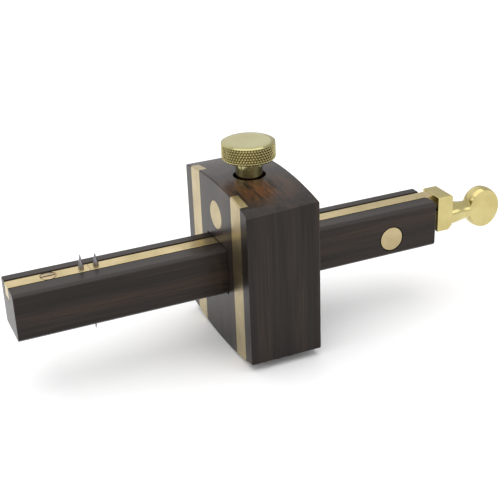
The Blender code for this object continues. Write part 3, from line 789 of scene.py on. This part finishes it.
def makeBeam():
    looks = beamLooks
    corners = chamferedSquare((beamLow.y, beamLow.z), (beamHigh.y, beamHigh.z), looks["chamfer"])
    blank = barMesh("beamWood", corners, beamLow.x, beamHigh.x, "X", looks["ease"], looks["end"])
    floor, pinBore = barLow.z - looks["floorGap"], pinRadius + 0.00005
    rodStart, rodEnd, rodCentre = rodLow.x - 0.0006, beamHigh.x + 0.002, (0, 0, adjusterZ)
    screwFoot, screwTop, screwCentre = plateLow.z - 0.0003, floor + 0.001, (plateX, barY, 0)
    pinFoot, pinTop, pinCentre = beamLow.z - 0.002, singleHigh.z + 0.0003, (singleX, 0, 0)
    cutters = [
        grooveCutter(floor),
        nutCutter(),
        boreMesh("rod hole", rodStart, rodEnd, looks["rodHole"], rodCentre, "X", 48),
        boreMesh("screw hole", screwFoot, screwTop, looks["screwHole"], screwCentre, "Z", 32),
        boreMesh("pin hole", pinFoot, pinTop, pinBore, pinCentre, "Z", 48),
    ]
    piece = carve(looseObject("beamWood", blank), cutters)
    finishPiece(piece, beamWood, "beam", ("beam",))


def barSection():
    # A dovetail, narrower at its top, and slimmer by slim on each side than the bar's box.
    foot = (barHigh.y - barLow.y) / 2 - barLooks["slim"]
    top = (barHigh.y - barLow.y) / 2 - barLooks["taper"] - barLooks["slim"]
    lower = [(barY - foot, barLow.z), (barY + foot, barLow.z)]
    return lower + [(barY + top, barHigh.z), (barY - top, barHigh.z)]


def pinHole(node):
    low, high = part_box(node)
    centre, radius = ((low.x + high.x) / 2, (low.y + high.y) / 2, 0), pinRadius + barLooks["pinGap"]
    return boreMesh("pin hole", barLow.z - 0.001, barHigh.z + 0.001, radius, centre, "Z", 48)


def makeBars():
    section, seamHalf, ease = barSection(), barLooks["seam"], barLooks["ease"]
    seamX = (fixedHigh.x + barLow.x) / 2
    mesh = barMesh("fixedPinBar", section, fixedLow.x, seamX - seamHalf, "X", ease, 0.0001)
    fixed = looseObject("fixedPinBar", mesh)
    headRadius, hole = (plateHigh.y - plateLow.y) / 2, beamLooks["screwHole"]
    sink = [
        (barLow.z - 0.001, hole),
        (barHigh.z - headRadius + 0.0015, hole),
        (barHigh.z - 0.0003, headRadius + beamLooks["sinkGap"]),
        (barHigh.z + 0.001, headRadius + beamLooks["sinkGap"]),
    ]
    carve(fixed, [turnedMesh("sink", sink, (plateX, barY, 0), "Z", 64), pinHole("fixed_pin")])
    finishPiece(fixed, barBrass, "beam", ("fixed_pin_bar",))

    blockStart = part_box("end_block")[0].x - 0.00002
    mesh = barMesh("slidingPinBar", section, seamX + seamHalf, blockStart, "X", ease, 0.00005)
    sliding = looseObject("slidingPinBar", mesh)
    carve(sliding, [pinHole("moving_pin")])
    finishPiece(sliding, barBrass, "pin_slide", ("slide_bar",))


def makePlateScrew():
    radius, top, shank = (plateHigh.y - plateLow.y) / 2, plateHigh.z, plateLooks["shank"]
    profile = [
        (top, 0.0004),
        (top, radius - 0.00012),
        (top - 0.00005, radius - 0.00003),
        (top - 0.00015, radius),
        (top - radius + shank, shank),
        (plateLow.z + 0.001, shank),
        (plateLow.z, 0.0002),
    ]
    mesh = turnedMesh("plateScrew", profile, (plateX, barY, 0), "Z", 96)
    screw = looseObject("plateScrew", mesh)
    half, depth = plateLooks["slotHalf"], plateLooks["slotDepth"]
    start = (plateX - 0.005, barY - half, top - depth)
    end = (plateX + 0.005, barY + half, top + 0.001)
    carve(screw, [boxMesh("slot", start, end)])
    finishPiece(screw, turnedBrass, "beam", ("plate_screw",))


def makePin(name, node, body, pointing):
    # A cone with slightly full sides on a cylinder: the places run from the tip to the foot.
    low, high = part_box(node)
    radius = (high.x - low.x) / 2
    x, y = (low.x + high.x) / 2, (low.y + high.y) / 2
    tip, foot = (high.z, low.z) if pointing > 0 else (low.z, high.z)
    stand = (barHigh.z + 0.001) if pointing > 0 else beamLow.z - 0.001
    cone = abs(tip - stand)
    point = [(0.0, 0.00005), (0.00003, 0.0001), (0.0001, 0.00015), (0.0003, 0.00019)]
    side = [(cone * 0.5, 0.52 * radius), (cone - 0.0002, radius * 0.965), (cone, radius * 0.99)]
    shaft = [(cone + 0.0002, radius), (abs(tip - foot), radius)]
    along, widths = np.array(point + side + shaft).T
    profile = np.stack([tip - pointing * along, widths], axis=1)
    pin = looseObject(name, turnedMesh(name, profile, (x, y, 0), "Z", 48))
    finishPiece(pin, steel, body, (node,))


def makeBeamNut():
    ease = beamLooks["nutEase"]
    inner = [(ease * 0.3, beamNutRadius - ease * 0.3), (ease, beamNutRadius)]
    profile = bothEnds([(0.0, beamNutRadius - ease)] + inner, beamLow.y, beamHigh.y)
    mesh = turnedMesh("beamCrossNut", profile, (beamNutX, 0, beamNutZ), "Y", 128)
    nut = looseObject("beamCrossNut", mesh)
    start, end, centre = beamNutX - 0.01, beamNutX + 0.01, (0, 0, adjusterZ)
    carve(nut, [boreMesh("thread", start, end, adjusterBore, centre, "X", 48)])
    finishPiece(nut, stripBrass, "beam", ("beam_cross_nut",))


makeBeam()
makeBars()
makePlateScrew()
makePin("fixedPin", "fixed_pin", "beam", 1)
makePin("movingPin", "moving_pin", "pin_slide", 1)
makePin("singlePin", "single_pin", "beam", -1)
makeBeamNut()
print("made the beam")

# End block and adjuster

blockLooks = {"topChamfer": 0.0010, "footChamfer": 0.0020, "ease": 0.0003, "edge": 0.0003}
knobLooks = {
    "rootRadius": 0.0051,
    "waistRadius": 0.0042,
    "neckStraight": 0.0025,
    "neckTaper": 0.0075,
    "halfLength": 0.0083,
    "flatHalf": 0.0034,
    "flatSoftness": 0.00025,
    "flatFade": 0.045,
    "flatRise": 0.007,
    "rim": 0.0003,
}
rodLooks = {"pitch": 0.001, "depth": 0.00045, "fade": 0.001, "taper": 0.0003}
blockLow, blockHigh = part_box("end_block")
turnLow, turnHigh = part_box("thumb_turn")


def makeEndBlock():
    upper, lower = blockLooks["topChamfer"], blockLooks["footChamfer"]
    ease, edge = blockLooks["ease"], blockLooks["edge"]
    x0, x1, z0, z1 = blockLow.x, blockHigh.x, blockLow.z, blockHigh.z
    foot = [(x0, z0), (x1 - lower, z0), (x1, z0 + lower)]
    corners = foot + [(x1, z1 - upper), (x1 - upper, z1), (x0, z1)]
    mesh = barMesh("endBlock", corners, blockLow.y, blockHigh.y, "Y", ease, edge)
    block = looseObject("endBlock", mesh)
    start, end, centre = x0 - 0.01, x1 + 0.01, (0, 0, adjusterZ)
    carve(block, [boreMesh("journal", start, end, adjusterBore, centre, "X", 64)])
    finishPiece(block, castBrass, "pin_slide", ("end_block",))


def makeThumbTurn():
    # A turned neck and knob, whose radius depends on x. Across the flats, y is held to half the
    # knob's thickness, except outside an ellipse.
    looks = knobLooks
    start, end = turnLow.x, turnHigh.x
    knobRadius = (turnHigh.z - turnLow.z) / 2
    knobHalf = looks["halfLength"]
    middle = end - knobHalf
    root, waist = looks["rootRadius"], looks["waistRadius"]
    first = -math.acos(waist / knobRadius)
    knobTurn = np.linspace(first, np.pi / 2 - 0.02, 130)
    knobPlaces, knobRadii = middle + knobHalf * np.sin(knobTurn), knobRadius * np.cos(knobTurn)
    neckPlaces = np.linspace(start + 0.0004, knobPlaces[0], 70)[:-1]
    share = np.clip((neckPlaces - start - looks["neckStraight"]) / looks["neckTaper"], 0, 1)
    neckRadii = root - (root - waist) * (1 - np.cos(np.pi * share)) / 2
    places = np.concatenate([[start, start + 0.0001], neckPlaces, knobPlaces])
    radii = np.concatenate([[root - 0.0004, root - 0.00015], neckRadii, knobRadii])
    angle = np.linspace(0, 2 * np.pi, 256, endpoint=False)
    x, radius = places[:, None], radii[:, None]
    across, along = radius * np.cos(angle), radius * np.sin(angle)
    rim = looks["rim"]
    outside = np.hypot((x - middle) / (knobHalf - rim), along / (knobRadius + rim))
    free = np.clip((outside - 1.0) / looks["flatFade"], 0, 1)
    limit = looks["flatHalf"] + free**2 * (3 - 2 * free) * looks["flatRise"]
    soft = looks["flatSoftness"]
    spare = limit - np.abs(across)
    held = limit - 0.5 * (spare + np.sqrt(spare**2 + soft**2)) + 0.5 * soft * 0.35
    across = np.sign(across) * np.maximum(np.minimum(held, np.abs(across)), 0)
    rings = np.stack(np.broadcast_arrays(x, across, adjusterZ + along), axis=-1)
    piece = looseObject("thumbTurn", ringMesh("thumbTurn", rings))
    finishPiece(piece, castBrass, "adjuster", ("thumb_turn",), sharp=60, weighted=False)


def makeRod():
    # A helical thread: radius = outer - depth times a triangle wave of (place / pitch - angle /
    # full turn), faded out at both ends.
    radius, pitch = (rodHigh.z - rodLow.z) / 2, rodLooks["pitch"]
    places = np.arange(rodLow.x, rodHigh.x, pitch / 10)
    angle = np.linspace(0, 2 * np.pi, 24, endpoint=False)
    x = places[:, None]
    fade = np.clip(np.minimum(x - rodLow.x, rodHigh.x - x) / rodLooks["fade"], 0, 1)
    wave = triangleWave(x / pitch - angle / (2 * np.pi))
    r = radius - rodLooks["depth"] * wave * fade - (1 - fade) * rodLooks["taper"]
    around, up = r * np.cos(angle), adjusterZ + r * np.sin(angle)
    rings = np.stack([np.broadcast_to(x, r.shape), around, up], axis=-1)
    piece = looseObject("threadedRod", ringMesh("threadedRod", rings))
    finishPiece(piece, steel, "adjuster", ("adjuster_rod",), sharp=50, weighted=False)


makeEndBlock()
makeThumbTurn()
makeRod()
for node, material, slotName in (
    ("pressure_shoe", stripBrass, "brass"),
    ("retaining_collar", turnedBrass, "brass"),
    ("collar_pin", steel, "steel"),
):
    part = frame["nodes"][node]
    part.data.materials.clear()
    part.data.materials.append(material)
print("made the adjuster")

# Studio

studioLooks = {
    "floor": (0.98, 0.98, 0.98),
    "world": 0.74,
    "lights": [
        {
            "name": "top soft box",
            "place": (-0.1, 0.0, 1.2),
            "aim": (0, 0, 0.03),
            "size": (1.8, 1.6),
            "power": 11.0,
        },
        {
            "name": "back soft box",
            "place": (-0.15, 1.3, 0.78),
            "aim": (0, 0, 0.03),
            "size": (1.9, 0.9),
            "power": 2.2,
        },
        {
            "name": "left soft box",
            "place": (-1.2, 0.2, 0.5),
            "aim": (0, 0, 0.03),
            "size": (1.0, 1.0),
            "power": 3.4,
        },
        {
            "name": "front soft box",
            "place": (0.75, -1.1, 0.55),
            "aim": (0.05, 0, 0.03),
            "size": (1.0, 0.6),
            "power": 2.2,
        },
    ],
}


def makeStudio():
    size = 6.0
    points = [(-size, -size, 0), (size, -size, 0), (size, size, 0), (-size, size, 0)]
    mesh = bpy.data.meshes.new("floor")
    mesh.from_pydata(points, [], [(0, 1, 2, 3)])
    floor = looseObject("floor", mesh)
    material, _, shader = newMaterial("pale floor")
    shader.inputs["Base Color"].default_value = (*studioLooks["floor"], 1.0)
    shader.inputs["Roughness"].default_value = 0.7
    shader.inputs["Specular IOR Level"].default_value = 0.1
    mesh.materials.append(material)

    world = bpy.data.worlds.new("studio")
    bpy.context.scene.world = world
    world.use_nodes = True
    background = world.node_tree.nodes["Background"]
    background.inputs["Color"].default_value = (1.0, 1.0, 1.0, 1.0)
    background.inputs["Strength"].default_value = studioLooks["world"]

    for look in studioLooks["lights"]:
        light = bpy.data.lights.new(look["name"], "AREA")
        light.shape = "RECTANGLE"
        light.size, light.size_y = look["size"]
        light.energy = look["power"]
        lamp = bpy.data.objects.new(look["name"], light)
        bpy.context.scene.collection.objects.link(lamp)
        lamp.location = look["place"]
        ahead = Vector(look["aim"]) - Vector(look["place"])
        lamp.rotation_euler = ahead.to_track_quat("-Z", "Y").to_euler()
    bpy.context.scene.view_settings.view_transform = "Standard"


cameraLooks = {
    "place": (-0.1737, -0.3836, 0.2360),
    "azimuth": 23.01,
    "elevation": 25.32,
    "roll": -2.28,
    "lens": 78.5,
}


def makeCamera():
    looks = cameraLooks
    azimuth, elevation = math.radians(looks["azimuth"]), math.radians(looks["elevation"])
    roll = math.radians(looks["roll"])
    level, drop = math.cos(elevation), -math.sin(elevation)
    ahead = Vector((math.sin(azimuth) * level, math.cos(azimuth) * level, drop))
    right = Vector((math.cos(azimuth), -math.sin(azimuth), 0))
    up = right.cross(ahead)
    rolledRight = right * math.cos(roll) + up * math.sin(roll)
    rolledUp = up * math.cos(roll) - right * math.sin(roll)
    lens = bpy.data.cameras.new("camera")
    lens.lens = looks["lens"]
    lens.sensor_width = 36.0
    lens.clip_start = 0.01
    lens.clip_end = 20.0
    camera = bpy.data.objects.new("camera", lens)
    bpy.context.scene.collection.objects.link(camera)
    turn = Matrix((rolledRight, rolledUp, -ahead)).transposed().to_4x4()
    camera.matrix_world = Matrix.Translation(looks["place"]) @ turn
    bpy.context.scene.camera = camera


makeStudio()
makeCamera()
print("made the studio")
